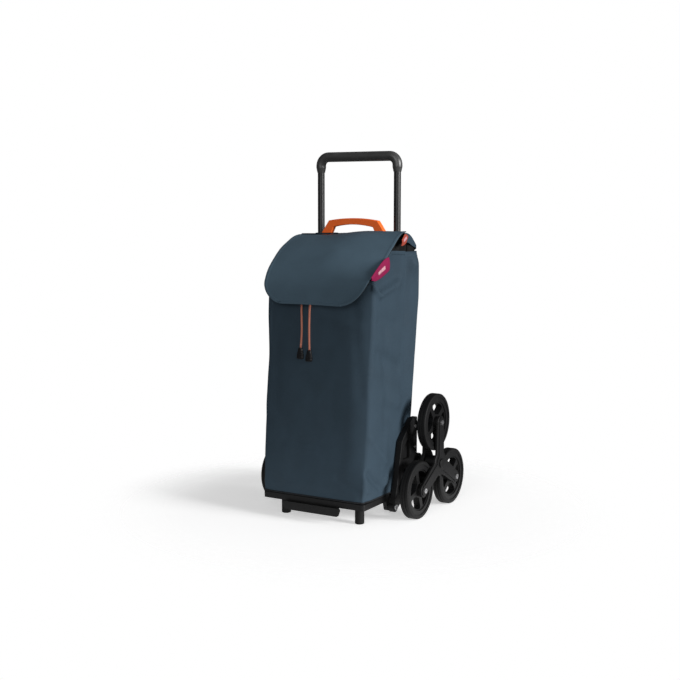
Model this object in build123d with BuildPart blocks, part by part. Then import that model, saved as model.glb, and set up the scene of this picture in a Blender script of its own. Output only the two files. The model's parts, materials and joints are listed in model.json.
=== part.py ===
"""Folding stair-climbing shopping trolley, in millimetres.

The frame is +Z up with the floor at Z = 0. -Y is the front, where the feet and the toe plate are, and +X is
the right-hand side seen from the front. The origin is on the floor, in the middle of the whole trolley.
A U-shaped steel tube stands behind a fabric bag. Two moulded brackets at its foot carry a through axle with
a three-wheel star on each end, and the platform under the bag folds up on two pins held by the brackets.
"""

from build123d import *
import os
from math import cos, pi, radians, sin, tan

# Overall size
total_height = 1020
total_depth = 478

# Wheels and stars
wheel_radius = 81
star_radius = 117.5
tyre_width = 26
tyre_x = 216                      # inner face of the tyres
rim_radius = 70
window_outer_radius, window_inner_radius = 54, 22
spoke_count = 4
spoke_width = 15
bolt_radius = 4
wheel_bore_radius = 4.05
inner_plate_x, outer_plate_x = 205, 246
plate_thickness = 7
rib_height = 2                    # of the raised ribs on the outer plates
inner_lobe_radius = 28            # round lobes behind the wheels
arm_angles = {"top": 90, "front": 210, "rear": 330}
wheel_phases = {"top": -10, "front": -29, "rear": -5}

# Axle, set so that the rear tyres end at the back of the overall depth
axle_radius = 6
axle_bore_radius = 6.05
axle_y = total_depth / 2 - wheel_radius - star_radius * cos(radians(30))
axle_z = wheel_radius + star_radius / 2

# Tube frame
tube_radius = 10
tube_wall = 1.2
tube_x = 125
tube_y = 25
tube_foot_z = 58
bend_radius = 25
grip_radius = 14
bar_z = total_height - grip_radius
grip_end_z = 962

# Side brackets and the beams between them
bracket_x, bracket_thickness = 168, 16
bracket_outer_x = bracket_x + bracket_thickness
post_top_z = 270
housing_z, housing_height = axle_z - 8, 36
housing_front_y, housing_back_y = 12, 76
shelf_front_y, shelf_back_y = -42, 42
shelf_low_z, shelf_top_z = 50, 69

# Folding base
hinge_y, hinge_z = -85, 34
hinge_pin_radius = 4
hinge_bore_radius = 4.06
base_half_width = 163
base_front_y, base_rear_y = -229, -80
base_low_z, base_top_z = 51, 69
toe_half_width, toe_low_z = 94, 28
toe_front_y = -total_depth / 2
foot_x, foot_y = 120, -176
foot_radius = 13

# Bag
bag_half_width = 164
bag_bottom_z = 71.5
bag_front_y = -232                # at the bottom; the front leans back from there
bag_lean = 0.087
bag_back_y = 11
bag_wall = 2
rim_back_z, rim_middle_z, rim_front_z = 748, 742, 668
rim_middle_y = -75
sleeve_half_width, sleeve_low_half_width = 173, 166.6
sleeve_low_z = 238
panel_half_width = 171
ridge_y, ridge_z = -17, 790
flap_half_width = 172
flap_thickness = 2.5
flap_corner_radius = 80

# Drawcord tails
cord_radius = 3


def front_y(z):
    """Y of the leaning front face of the bag at height z."""
    return bag_front_y + bag_lean * (z - bag_bottom_z)


os.makedirs("parts", exist_ok=True)


def save(part, name):
    """Labels one finished sub-part and writes it as its own STEP file."""
    part.label = name
    export_step(part, f"parts/{name}.step")


def save_pair(part, name):
    """Writes a right-hand sub-part and its mirror image."""
    save(part, f"{name}_right")
    with BuildPart() as other_side:
        mirror(part, about=Plane.YZ)
    save(other_side.part, f"{name}_left")


# ---------------------------------------------------------------- tube frame
tube_corners = [
    (-tube_x, tube_y, tube_foot_z),
    (-tube_x, tube_y, bar_z),
    (tube_x, tube_y, bar_z),
    (tube_x, tube_y, tube_foot_z),
]

with BuildPart() as handle_frame:
    with BuildLine() as tube_path:
        FilletPolyline(*tube_corners, radius=bend_radius)
    with BuildSketch(Plane.XY.offset(tube_foot_z)):
        with Locations((-tube_x, tube_y)):
            Circle(tube_radius)
            Circle(tube_radius - tube_wall, mode=Mode.SUBTRACT)
    sweep(path=tube_path.line)
save(handle_frame.part, "handle_frame")

# The soft grip covers the bar and both bends and thins out on the legs.
grip_sleeve_radius = tube_radius + 0.05
grip_taper = 14
with BuildPart() as handle_grip:
    with BuildLine() as grip_path:
        FilletPolyline(
            (-tube_x, tube_y, grip_end_z + grip_taper),
            *tube_corners[1:3],
            (tube_x, tube_y, grip_end_z + grip_taper),
            radius=bend_radius,
        )
    with BuildSketch(Plane.XY.offset(grip_end_z + grip_taper)):
        with Locations((-tube_x, tube_y)):
            Circle(grip_radius)
            Circle(grip_sleeve_radius, mode=Mode.SUBTRACT)
    sweep(path=grip_path.line)
    for x in (-tube_x, tube_x):
        with BuildSketch(Plane.XY.offset(grip_end_z + grip_taper)):
            with Locations((x, tube_y)):
                Circle(grip_radius)
        with BuildSketch(Plane.XY.offset(grip_end_z)):
            with Locations((x, tube_y)):
                Circle(tube_radius + 1.2)
        loft()
        with Locations((x, tube_y, grip_end_z)):
            Cylinder(
                grip_sleeve_radius,
                grip_taper,
                align=(Align.CENTER, Align.CENTER, Align.MIN),
                mode=Mode.SUBTRACT,
            )
save(handle_grip.part, "handle_grip")

# Moulded crossbar clamped between the legs near the top of the bag; the carry handle is screwed to it.
crossbar_z, crossbar_height = 728, 30
crossbar_front_y, crossbar_back_y = 12.5, 37.5
with BuildPart() as upper_crossbar:
    with BuildSketch(Plane.XY.offset(crossbar_z - crossbar_height / 2)):
        with Locations((0, (crossbar_front_y + crossbar_back_y) / 2)):
            RectangleRounded(2 * tube_x + 30, crossbar_back_y - crossbar_front_y, 6)
        with Locations((-tube_x, tube_y), (tube_x, tube_y)):
            Circle(tube_radius + 0.05, mode=Mode.SUBTRACT)
    extrude(amount=crossbar_height)
    with Locations((0, crossbar_back_y, crossbar_z)):
        Box(
            2 * tube_x - 44,
            14,
            crossbar_height - 10,
            align=(Align.CENTER, Align.MAX, Align.CENTER),
            mode=Mode.SUBTRACT,
        )
save(upper_crossbar.part, "upper_crossbar")

# ---------------------------------------------------------------- brackets, beams and axle
with BuildPart() as side_bracket:
    with BuildSketch(Plane.YZ.offset(bracket_x)) as bracket_profile:
        with BuildLine():
            Polyline(
                (tube_y + 18, post_top_z),
                (tube_y - 7, post_top_z),
                (-15, 244),
                (-48, 214),
                (-64, 150),
                (-80, 78),
                (hinge_y - 9, 46),
                (hinge_y + 9, 26),
                (-45, 44),
                (tube_y + 18, 44),
                close=True,
            )
        make_face()
        fillet(bracket_profile.vertices().group_by(Axis.Y)[0], radius=3)
        with Locations((axle_y, axle_z)):
            Circle(22)
        with Locations((hinge_y, hinge_z)):
            Circle(14)
    extrude(amount=bracket_thickness)
    # Two lightening pockets leave a web in the middle of the gusset.
    for pocket in (
        [(-4, 222), (-36, 200), (-46, 160), (-4, 160)],
        [(-52, 132), (-66, 72), (-16, 72), (-16, 132)],
    ):
        with BuildSketch(Plane.YZ.offset(bracket_outer_x)):
            with BuildLine():
                Polyline(*pocket, close=True)
            make_face()
            fillet(vertices(), radius=5)
        extrude(amount=-9, mode=Mode.SUBTRACT)
    with BuildSketch(Plane.YZ.offset(bracket_x)):
        with Locations((axle_y, axle_z)):
            Circle(axle_bore_radius)
        with Locations((hinge_y, hinge_z)):
            Circle(hinge_bore_radius)
    extrude(amount=bracket_thickness, mode=Mode.SUBTRACT)
    chamfer(faces().sort_by(Axis.X)[-1].outer_wire().edges(), length=1.2)
save_pair(side_bracket.part, "side_bracket")

screw_spots = [(tube_y + 5, 245), (tube_y + 5, 185), (0, 58), (tube_y + 5, 100)]
with BuildPart() as bracket_screws:
    for y, z in screw_spots:
        with BuildSketch(Plane.YZ.offset(bracket_outer_x)):
            with Locations((y, z)):
                Circle(5)
        extrude(amount=2.4)
        with BuildSketch(Plane.YZ.offset(bracket_outer_x + 2.4)):
            with Locations((y, z)):
                RegularPolygon(2.4, 6)
        extrude(amount=-1.4, mode=Mode.SUBTRACT)
save_pair(bracket_screws.part, "bracket_screws")

# The axle housing is one moulding through which both legs and the axle pass.
with BuildPart() as axle_housing:
    with BuildSketch(Plane.XY.offset(housing_z - housing_height / 2)):
        with Locations((0, (housing_front_y + housing_back_y) / 2)):
            RectangleRounded(2 * bracket_x, housing_back_y - housing_front_y, 8)
        with Locations((-tube_x, tube_y), (tube_x, tube_y)):
            Circle(tube_radius + 0.05, mode=Mode.SUBTRACT)
    extrude(amount=housing_height)
    with BuildSketch(Plane.YZ.offset(-bracket_x)):
        with Locations((axle_y, axle_z)):
            Circle(axle_bore_radius)
    extrude(amount=2 * bracket_x, mode=Mode.SUBTRACT)
    # Open pockets under the housing keep the walls thin.
    with BuildSketch(Plane.XY.offset(housing_z - housing_height / 2)):
        with Locations((-72, tube_y + 2), (0, tube_y + 2), (72, tube_y + 2)):
            RectangleRounded(58, 22, 3)
    extrude(amount=housing_height - 5, mode=Mode.SUBTRACT)
save(axle_housing.part, "axle_housing")

# The fixed shelf under the back of the bag; the ends of the legs sit in two blind sockets in its top.
with BuildPart() as rear_shelf:
    with BuildSketch(Plane.XY.offset(shelf_low_z)):
        with Locations((0, (shelf_front_y + shelf_back_y) / 2)):
            RectangleRounded(2 * bracket_x, shelf_back_y - shelf_front_y, 5)
    extrude(amount=shelf_top_z - shelf_low_z)
    with BuildSketch(Plane.XY.offset(tube_foot_z)):
        with Locations((-tube_x, tube_y), (tube_x, tube_y)):
            Circle(tube_radius + 0.05)
    extrude(amount=shelf_top_z - tube_foot_z, mode=Mode.SUBTRACT)
    with BuildSketch(Plane.XY.offset(shelf_low_z)):
        with GridLocations(62, 0, 5, 1):
            with Locations((0, -14)):
                RectangleRounded(54, 42, 3)
    extrude(amount=shelf_top_z - shelf_low_z - 4, mode=Mode.SUBTRACT)
save(rear_shelf.part, "rear_shelf")

cap_x = outer_plate_x + plate_thickness + rib_height
with BuildPart() as main_axle:
    with BuildSketch(Plane.YZ.offset(-cap_x)):
        with Locations((axle_y, axle_z)):
            Circle(axle_radius)
    extrude(amount=2 * cap_x)
save(main_axle.part, "main_axle")

spacer_gap = 0.5
with BuildPart() as axle_spacer:
    with BuildSketch(Plane.YZ.offset(bracket_outer_x)):
        with Locations((axle_y, axle_z)):
            Circle(10)
            Circle(axle_bore_radius, mode=Mode.SUBTRACT)
    extrude(amount=inner_plate_x - bracket_outer_x - spacer_gap)
save_pair(axle_spacer.part, "axle_spacer")

with BuildPart() as axle_cap:
    with BuildSketch(Plane.YZ.offset(cap_x + spacer_gap)):
        with Locations((axle_y, axle_z)):
            Circle(13)
    extrude(amount=3.5)
    fillet(edges().group_by(Axis.X)[-1], radius=2)
    with BuildSketch(Plane.YZ.offset(cap_x)):
        with Locations((axle_y, axle_z)):
            Circle(axle_radius)
    extrude(amount=spacer_gap)
save_pair(axle_cap.part, "axle_cap")

with BuildPart() as base_hinge_pin:
    with BuildSketch(Plane.YZ.offset(bracket_x - 14)):
        with Locations((hinge_y, hinge_z)):
            Circle(hinge_pin_radius)
    extrude(amount=bracket_thickness + 14)
    with BuildSketch(Plane.YZ.offset(bracket_outer_x)):
        with Locations((hinge_y, hinge_z)):
            Circle(8)
    extrude(amount=3.5)
    fillet(edges().group_by(Axis.X)[-1], radius=1.5)
save_pair(base_hinge_pin.part, "base_hinge_pin")


# ---------------------------------------------------------------- wheel stars
def wheel_centre(spot):
    """(Y, Z) of the middle of the wheel at one arm of the star."""
    turn = radians(arm_angles[spot])
    return axle_y + star_radius * cos(turn), axle_z + star_radius * sin(turn)


def star_plate(x, rib, lobe_radius):
    """One three-armed plate starting at x, with ribs this high on its outward face and round lobes at the bolts."""
    hub = Vector(axle_y, axle_z)
    with BuildPart() as plate:
        with BuildSketch(Plane.YZ.offset(x)) as outline:
            with Locations((axle_y, axle_z)):
                Circle(36)
            for spot, angle in arm_angles.items():
                turn = radians(angle)
                reach = Vector(cos(turn), sin(turn)) * star_radius
                across = Vector(-sin(turn), cos(turn))
                with BuildLine():
                    Polyline(
                        hub + across * 24,
                        hub + reach + across * 18.5,
                        hub + reach - across * 18.5,
                        hub - across * 24,
                        close=True,
                    )
                make_face()
                with Locations(wheel_centre(spot)):
                    Circle(lobe_radius)
        extrude(amount=plate_thickness)
        if rib:
            chamfer(faces().sort_by(Axis.X)[-1].outer_wire().edges(), length=1.4)
            # A raised rib joins the hub boss and the three bolt bosses.
            with BuildSketch(Plane.YZ.offset(x + plate_thickness)):
                with Locations((axle_y, axle_z)):
                    Circle(25)
                for spot, angle in arm_angles.items():
                    turn = radians(angle)
                    middle = hub + Vector(cos(turn), sin(turn)) * (star_radius / 2)
                    with Locations((middle.X, middle.Y)):
                        Rectangle(star_radius, 25, rotation=angle)
                    with Locations(wheel_centre(spot)):
                        Circle(15)
            extrude(amount=rib)
        with BuildSketch(Plane.YZ.offset(x)):
            with Locations((axle_y, axle_z)):
                Circle(axle_bore_radius)
            for spot in arm_angles:
                with Locations(wheel_centre(spot)):
                    Circle(wheel_bore_radius)
        extrude(amount=plate_thickness + rib, mode=Mode.SUBTRACT)
    return plate.part


save_pair(star_plate(outer_plate_x, rib_height, 19), "star_outer_plate")
save_pair(star_plate(inner_plate_x, 0, inner_lobe_radius), "star_inner_plate")

# The hub keeps the two plates of a star apart and turns on the axle.
hub_length = outer_plate_x - inner_plate_x - plate_thickness
with BuildPart() as star_hub:
    with BuildSketch(Plane.YZ.offset(inner_plate_x + plate_thickness)):
        with Locations((axle_y, axle_z)):
            Circle(20)
            Circle(axle_bore_radius, mode=Mode.SUBTRACT)
    extrude(amount=hub_length)
save_pair(star_hub.part, "star_hub")

with BuildPart() as wheel_bolts:
    for spot in arm_angles:
        with BuildSketch(Plane.YZ.offset(inner_plate_x - 6)):
            with Locations(wheel_centre(spot)):
                Circle(bolt_radius)
        extrude(amount=cap_x - inner_plate_x + 6)
        with BuildSketch(Plane.YZ.offset(cap_x)):
            with Locations(wheel_centre(spot)):
                Circle(7)
        extrude(amount=3)
        with BuildSketch(Plane.YZ.offset(cap_x + 3)):
            with Locations(wheel_centre(spot)):
                RegularPolygon(3.2, 6)
        extrude(amount=-2, mode=Mode.SUBTRACT)
save_pair(wheel_bolts.part, "wheel_bolts")

with BuildPart() as wheel_nuts:
    for spot in arm_angles:
        with BuildSketch(Plane.YZ.offset(inner_plate_x - 6)):
            with Locations(wheel_centre(spot)):
                RegularPolygon(7, 6)
                Circle(bolt_radius, mode=Mode.SUBTRACT)
        extrude(amount=6)
save_pair(wheel_nuts.part, "wheel_nuts")

# ---------------------------------------------------------------- wheels
rim_x, rim_width = 217, 23
web_x, web_width = 217, 20
wheel_hub_x, wheel_hub_width = 213, 32
groove_xs = (tyre_x + 8, tyre_x + tyre_width - 10)


def tyre(spot):
    """The rubber ring of one wheel, with two grooves around its tread."""
    with BuildPart() as ring:
        with BuildSketch(Plane.YZ.offset(tyre_x)):
            with Locations(wheel_centre(spot)):
                Circle(wheel_radius)
                Circle(rim_radius, mode=Mode.SUBTRACT)
        extrude(amount=tyre_width)
        outer_edges = edges().filter_by(GeomType.CIRCLE).filter_by(
            lambda edge: edge.radius > wheel_radius - 1
        )
        fillet(outer_edges, radius=3.5)
        for groove_x in groove_xs:
            with BuildSketch(Plane.YZ.offset(groove_x)):
                with Locations(wheel_centre(spot)):
                    Circle(wheel_radius + 1)
                    Circle(wheel_radius - 1.6, mode=Mode.SUBTRACT)
            extrude(amount=2, mode=Mode.SUBTRACT)
    return ring.part


def rim(spot):
    """The plastic rim, spoked web and hub of one wheel."""
    with BuildPart() as wheel:
        with BuildSketch(Plane.YZ.offset(rim_x)):
            with Locations(wheel_centre(spot)):
                Circle(rim_radius)
                Circle(window_outer_radius + 4, mode=Mode.SUBTRACT)
        extrude(amount=rim_width)
        with BuildSketch(Plane.YZ.offset(web_x)):
            with Locations(wheel_centre(spot)):
                Circle(window_outer_radius + 4)
        extrude(amount=web_width)
        with BuildSketch(Plane.YZ.offset(web_x)):
            with Locations(wheel_centre(spot)):
                with Locations(Rotation(0, 0, wheel_phases[spot])):
                    Circle(window_outer_radius)
                    Circle(window_inner_radius, mode=Mode.SUBTRACT)
                    with PolarLocations(0, spoke_count // 2, 45, 180):
                        Rectangle(3 * rim_radius, spoke_width, mode=Mode.SUBTRACT)
            fillet(vertices(), radius=5)
        extrude(amount=web_width, mode=Mode.SUBTRACT)
        with BuildSketch(Plane.YZ.offset(wheel_hub_x)):
            with Locations(wheel_centre(spot)):
                Circle(16)
        extrude(amount=wheel_hub_width)
        with BuildSketch(Plane.YZ.offset(wheel_hub_x)):
            with Locations(wheel_centre(spot)):
                Circle(wheel_bore_radius)
        extrude(amount=wheel_hub_width, mode=Mode.SUBTRACT)
    return wheel.part


for spot in arm_angles:
    save_pair(tyre(spot), f"tyre_{spot}")
    save_pair(rim(spot), f"rim_{spot}")

# ---------------------------------------------------------------- folding base
base_wall = 4
with BuildPart() as base_platform:
    base_middle_y = (base_front_y + base_rear_y) / 2
    with BuildSketch(Plane.XY.offset(base_low_z)):
        with Locations((0, base_middle_y)):
            RectangleRounded(2 * base_half_width, base_rear_y - base_front_y, 9)
    extrude(amount=base_top_z - base_low_z)
    chamfer(faces().sort_by(Axis.Z)[-1].outer_wire().edges(), length=1.5)
    # Pockets from below leave a ribbed tray; the two legs stand under solid bosses.
    with BuildSketch(Plane.XY.offset(base_low_z)):
        with Locations((0, base_middle_y)):
            with GridLocations(61, 68, 5, 2):
                RectangleRounded(61 - base_wall, 68 - base_wall, 3)
        with Locations((-foot_x, foot_y), (foot_x, foot_y)):
            Circle(16, mode=Mode.SUBTRACT)
    extrude(amount=base_top_z - base_low_z - base_wall, mode=Mode.SUBTRACT)
    # One lug at each side reaches down to the hinge pin.
    for side in (-1, 1):
        with BuildSketch(Plane.YZ.offset(side * base_half_width)):
            with BuildLine():
                Polyline(
                    (hinge_y - 12, hinge_z),
                    (hinge_y - 24, base_top_z - 1.5),
                    (hinge_y + 15, base_top_z - 1.5),
                    (hinge_y + 12, hinge_z),
                    close=True,
                )
            make_face()
            with Locations((hinge_y, hinge_z)):
                Circle(12)
                Circle(hinge_bore_radius, mode=Mode.SUBTRACT)
        extrude(amount=-side * 12)
save(base_platform.part, "base_platform")

with BuildPart() as toe_plate:
    with BuildSketch(Plane.XZ.offset(-toe_front_y - 6)):
        with BuildLine():
            Polyline(
                (-toe_half_width, base_low_z),
                (toe_half_width, base_low_z),
                (toe_half_width - 8, toe_low_z),
                (-toe_half_width + 8, toe_low_z),
                close=True,
            )
        make_face()
        fillet(vertices().group_by(Axis.Z)[0], radius=6)
    extrude(amount=6)
    with Locations((0, toe_front_y + 6, base_low_z)):
        Box(
            2 * toe_half_width - 30,
            16,
            5,
            align=(Align.CENTER, Align.MIN, Align.MAX),
        )
save(toe_plate.part, "toe_plate")

foot_floor = 8
with BuildPart() as foot_legs:
    with BuildSketch(Plane.XY.offset(foot_floor)):
        with Locations((-foot_x, foot_y), (foot_x, foot_y)):
            Circle(10)
            Circle(8.5, mode=Mode.SUBTRACT)
    extrude(amount=base_low_z - foot_floor)
save(foot_legs.part, "foot_legs")

with BuildPart() as foot_cap:
    with BuildSketch(Plane.XY):
        with Locations((foot_x, foot_y)):
            Circle(foot_radius)
    extrude(amount=44)
    fillet(edges().group_by(Axis.Z)[0], radius=3)
    fillet(edges().group_by(Axis.Z)[-1], radius=1)
    with BuildSketch(Plane.XY.offset(foot_floor)):
        with Locations((foot_x, foot_y)):
            Circle(10.02)
    extrude(amount=44 - foot_floor, mode=Mode.SUBTRACT)
save_pair(foot_cap.part, "foot_cap")

# ---------------------------------------------------------------- bag
def side_face(half_width, *corners):
    """A face through these (Y, Z) corners, at X = -half_width."""
    with BuildSketch(Plane.YZ.offset(-half_width)) as panel:
        with BuildLine():
            Polyline(*corners, close=True)
        make_face()
    return panel.sketch


eyelet_z = 650
eyelet_xs = {"left": -52, "right": -22}
eyelet_radius, eyelet_hole_radius = 7, 3.4
front_normal = Vector(0, -1, bag_lean).normalized()

bag_side = side_face(
    bag_half_width,
    (bag_front_y, bag_bottom_z),
    (bag_back_y, bag_bottom_z),
    (bag_back_y, rim_back_z),
    (rim_middle_y, rim_middle_z),
    (front_y(rim_front_z), rim_front_z),
)
with BuildPart() as bag_body:
    extrude(bag_side, amount=2 * bag_half_width)
    upright = edges().filter_by(lambda edge: edge.bounding_box().size.Z > 500)
    fillet(upright, radius=16)
    mouth = faces().filter_by(lambda face: face.center().Z > rim_front_z - 40)
    mouth = mouth.filter_by(lambda face: face.normal_at().Z > 0.5)
    offset(amount=-bag_wall, openings=mouth)
    for x in eyelet_xs.values():
        face_point = Vector(x, front_y(eyelet_z), eyelet_z)
        with BuildSketch(Plane(origin=face_point + front_normal * 5, z_dir=front_normal)):
            Circle(eyelet_hole_radius)
        extrude(amount=-10, mode=Mode.SUBTRACT)
save(bag_body.part, "bag_body")

with BuildPart() as cord_eyelets:
    for x in eyelet_xs.values():
        face_point = Vector(x, front_y(eyelet_z), eyelet_z)
        with BuildSketch(Plane(origin=face_point, z_dir=front_normal)):
            Circle(eyelet_radius)
            Circle(eyelet_hole_radius, mode=Mode.SUBTRACT)
        extrude(amount=1.2)
save(cord_eyelets.part, "cord_eyelets")

# Stiff boards inside the bag: one against the back and two on the floor, which part when the base folds.
with BuildPart() as back_board:
    with BuildSketch(Plane.XZ.offset(-bag_back_y + bag_wall + 3.2)):
        with Locations((0, (90 + 700) / 2)):
            RectangleRounded(260, 700 - 90, 12)
    extrude(amount=-3)
save(back_board.part, "back_board")

board_z = bag_bottom_z + bag_wall
for name, board_front, board_back in (
    ("floor_board_front", bag_front_y + 10, -76),
    ("floor_board_rear", -40, 2),
):
    with BuildPart() as floor_board:
        with BuildSketch(Plane.XY.offset(board_z)):
            with Locations((0, (board_front + board_back) / 2)):
                RectangleRounded(2 * bag_half_width - 12, board_back - board_front, 6)
        extrude(amount=3)
    save(floor_board.part, name)

# The black drawstring collar stands inside the rim; its mouth is drawn wide here.
collar_gap, collar_wall = 5, 1.2
collar_front = front_y(rim_front_z) + collar_gap
collar_back = -14
collar_half_width = bag_half_width - collar_gap
collar_side = side_face(
    collar_half_width,
    (collar_front, rim_front_z - 20),
    (collar_back, rim_back_z - 34),
    (collar_back, rim_back_z + 8),
    (rim_middle_y, rim_middle_z + 6),
    (collar_front, rim_front_z + 8),
)
with BuildPart() as drawstring_collar:
    extrude(collar_side, amount=2 * collar_half_width)
    fillet(edges().filter_by(Axis.Z), radius=14)
    with Locations((0, (collar_front + collar_back) / 2, 700)):
        Box(
            2 * (collar_half_width - collar_wall),
            collar_back - collar_front - 2 * collar_wall,
            300,
            mode=Mode.SUBTRACT,
        )
save(drawstring_collar.part, "drawstring_collar")

# The sleeve behind the bag slips over both legs of the tube frame and is open at its foot.
with BuildPart() as bag_sleeve:
    for inset, mode in ((0, Mode.ADD), (bag_wall, Mode.SUBTRACT)):
        start_y = 2 - 3 * inset
        for z, half_width, back in (
            (sleeve_low_z, sleeve_low_half_width, 44),
            (rim_back_z, sleeve_half_width, 72),
        ):
            with BuildSketch(Plane.XY.offset(z)):
                with Locations((0, (start_y + back - inset) / 2)):
                    RectangleRounded(2 * (half_width - inset), back - inset - start_y, 14 - inset)
        loft(mode=mode)
    with Locations((0, 2, sleeve_low_z)):
        Box(400, 30, 500, align=(Align.CENTER, Align.MAX, Align.MIN), mode=Mode.SUBTRACT)
    with Locations((0, 2, sleeve_low_z)):
        Box(
            2 * bag_half_width - 28,
            40,
            500,
            align=(Align.CENTER, Align.CENTER, Align.MIN),
            mode=Mode.SUBTRACT,
        )
save(bag_sleeve.part, "bag_sleeve")

# ---------------------------------------------------------------- carry handle
with BuildPart() as carry_handle:
    with BuildSketch(Plane.XZ.offset(-8)):
        with BuildLine():
            Polyline((-80, 825), (-104, 790), (-112, 716), (-77, 716), (-74, 786), (-64, 807))
            ThreePointArc((-64, 807), (0, 814), (64, 807))
            Polyline((64, 807), (74, 786), (77, 716), (112, 716), (104, 790), (80, 825))
            ThreePointArc((80, 825), (0, 832), (-80, 825))
        make_face()
        fillet(vertices().filter_by_position(Axis.Z, 780, 830), radius=7)
    extrude(amount=16)
    chamfer(faces().sort_by(Axis.Y)[-1].outer_wire().edges(), length=1.5)
    chamfer(faces().sort_by(Axis.Y)[0].outer_wire().edges(), length=1.5)
save(carry_handle.part, "carry_handle")

with BuildPart() as carry_handle_screws:
    for x in (-93, 93):
        for z in (722, 734):
            with BuildSketch(Plane.XZ.offset(8)):
                with Locations((x, z)):
                    Circle(4)
            extrude(amount=2)
save(carry_handle_screws.part, "carry_handle_screws")

# ---------------------------------------------------------------- top panel and flap
# The sheet behind the ridge is slotted for the legs and for the carry handle.
top_line = [(-14, 787), (20, 783), (46, 768), (66, 754), (72, 752)]
top_underside = [(72, 750), (65, 752), (45, 766), (20, 781), (-14, 785)]
top_side = side_face(panel_half_width, *top_line, *top_underside)
with BuildPart() as top_panel:
    extrude(top_side, amount=2 * panel_half_width)
    with Locations((-tube_x, tube_y, 770), (tube_x, tube_y, 770)):
        Cylinder(tube_radius + 1.5, 60, mode=Mode.SUBTRACT)
    with Locations((-86, 0, 770), (86, 0, 770)):
        Box(56, 18, 60, mode=Mode.SUBTRACT)
save(top_panel.part, "top_panel")

flap_outline = [
    (ridge_y, ridge_z),
    (-82, 764),
    (-130, 738),
    (-166, 709),
    (-190, 682),
    (-205, 648),
    (-210, 600),
]


def shifted_inward(points, distance):
    """The same open line moved to its left-hand side, which is the underside of the flap."""
    moved = []
    for index, (y, z) in enumerate(points):
        before = points[max(index - 1, 0)]
        after = points[min(index + 1, len(points) - 1)]
        along = Vector(after[0] - before[0], after[1] - before[1]).normalized()
        moved.append((y - along.Y * distance, z + along.X * distance))
    return moved


with BuildPart() as flap:
    flap_underside = shifted_inward(flap_outline, flap_thickness)
    with BuildSketch(Plane.YZ.offset(-flap_half_width)):
        with BuildLine():
            top_line = Spline(*flap_outline)
            under_line = Spline(*flap_underside)
            Line(top_line @ 0, under_line @ 0)
            Line(top_line @ 1, under_line @ 1)
        make_face()
    extrude(amount=2 * flap_half_width)
    # Rounded front corners, trimmed straight through from the front.
    with BuildSketch(Plane.XZ.offset(-100)):
        with Locations((0, 600)):
            Rectangle(2 * flap_half_width, 400, align=(Align.CENTER, Align.MIN))
        fillet(vertices().group_by(Axis.Z)[0], radius=flap_corner_radius)
    extrude(amount=400, mode=Mode.INTERSECT)
save(flap.part, "flap")

# Plain cloth tabs sewn to the edge of the flap and to the ridge.
with BuildPart() as edge_tab:
    with BuildSketch(Plane.YZ.offset(flap_half_width)):
        with BuildLine():
            Polyline(
                (-213, 680),
                (-183, 700.5),
                (-138, 724.5),
                (-114, 729),
                (-110, 696),
                (-124, 688.5),
                (-183, 670),
                (-211, 672),
                close=True,
            )
        make_face()
    extrude(amount=1.6)
save(edge_tab.part, "edge_tab")

with BuildPart() as ridge_tab:
    with BuildSketch(Plane.YZ.offset(flap_half_width)):
        with BuildLine():
            Polyline((-38, 774), (-23, 787), (-14, 790), (-3, 781), (-14, 765), (-40, 757), close=True)
        make_face()
    extrude(amount=1.6)
save(ridge_tab.part, "ridge_tab")


# ---------------------------------------------------------------- drawcord tails
def cord_tube(points, name):
    """One round cord along straight runs joined by arcs, checked by its volume."""
    points = [Vector(*point) for point in points]
    bend_radii = []
    for before, corner, after in zip(points, points[1:], points[2:]):
        shorter = min((corner - before).length, (after - corner).length)
        turn = radians((corner - before).get_angle(after - corner))
        bend_radii.append(0.45 * shorter / tan(turn / 2))
    with BuildPart() as tail:
        with BuildLine() as route:
            FilletPolyline(*points, radius=bend_radii)
        with BuildSketch(Plane(origin=points[0], z_dir=points[1] - points[0])):
            Circle(cord_radius)
        sweep(path=route.line)
    cord_length = sum(edge.length for edge in route.line.edges())
    expected = pi * cord_radius**2 * cord_length
    print(name, "bend radii", [round(radius, 1) for radius in bend_radii])
    print(name, "length", round(cord_length, 1), "volume ratio", round(tail.part.volume / expected, 4))
    save(tail.part, name)


cord_routes = {
    "left": [
        (-52.0, -182.5, 650.0),
        (-52.0, -193.0, 648.0),
        (-51.5, -197.5, 634.0),
        (-53.5, -194.5, 608.0),
        (-55.0, -194.5, 580.0),
        (-52.5, -197.0, 545.0),
        (-51.0, -199.5, 512.0),
        (-52.5, -203.0, 479.0),
    ],
    "right": [
        (-22.0, -182.5, 650.0),
        (-22.0, -193.0, 648.0),
        (-22.5, -197.5, 634.0),
        (-26.5, -194.5, 606.0),
        (-29.0, -194.5, 582.0),
        (-28.5, -197.0, 548.0),
        (-27.0, -200.0, 510.0),
        (-24.0, -203.5, 474.0),
    ],
}
for side, points in cord_routes.items():
    cord_tube(points, f"drawcord_{side}")
    end = Vector(*points[-1]) - Vector(0, 0, 0.4)
    with BuildPart() as cord_end:
        with BuildSketch(Plane.XY.offset(end.Z)):
            with Locations((end.X, end.Y)):
                RectangleRounded(14, 9, 3)
        with BuildSketch(Plane.XY.offset(end.Z - 30)):
            with Locations((end.X, end.Y - 2)):
                RectangleRounded(22, 11, 3)
        loft()
    save(cord_end.part, f"cord_end_{side}")
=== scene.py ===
"""Visual model of the folding shopping trolley: cloth, cords and finishes round the frame, in metres."""

import json
import math

import bpy
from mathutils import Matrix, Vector, noise


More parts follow.
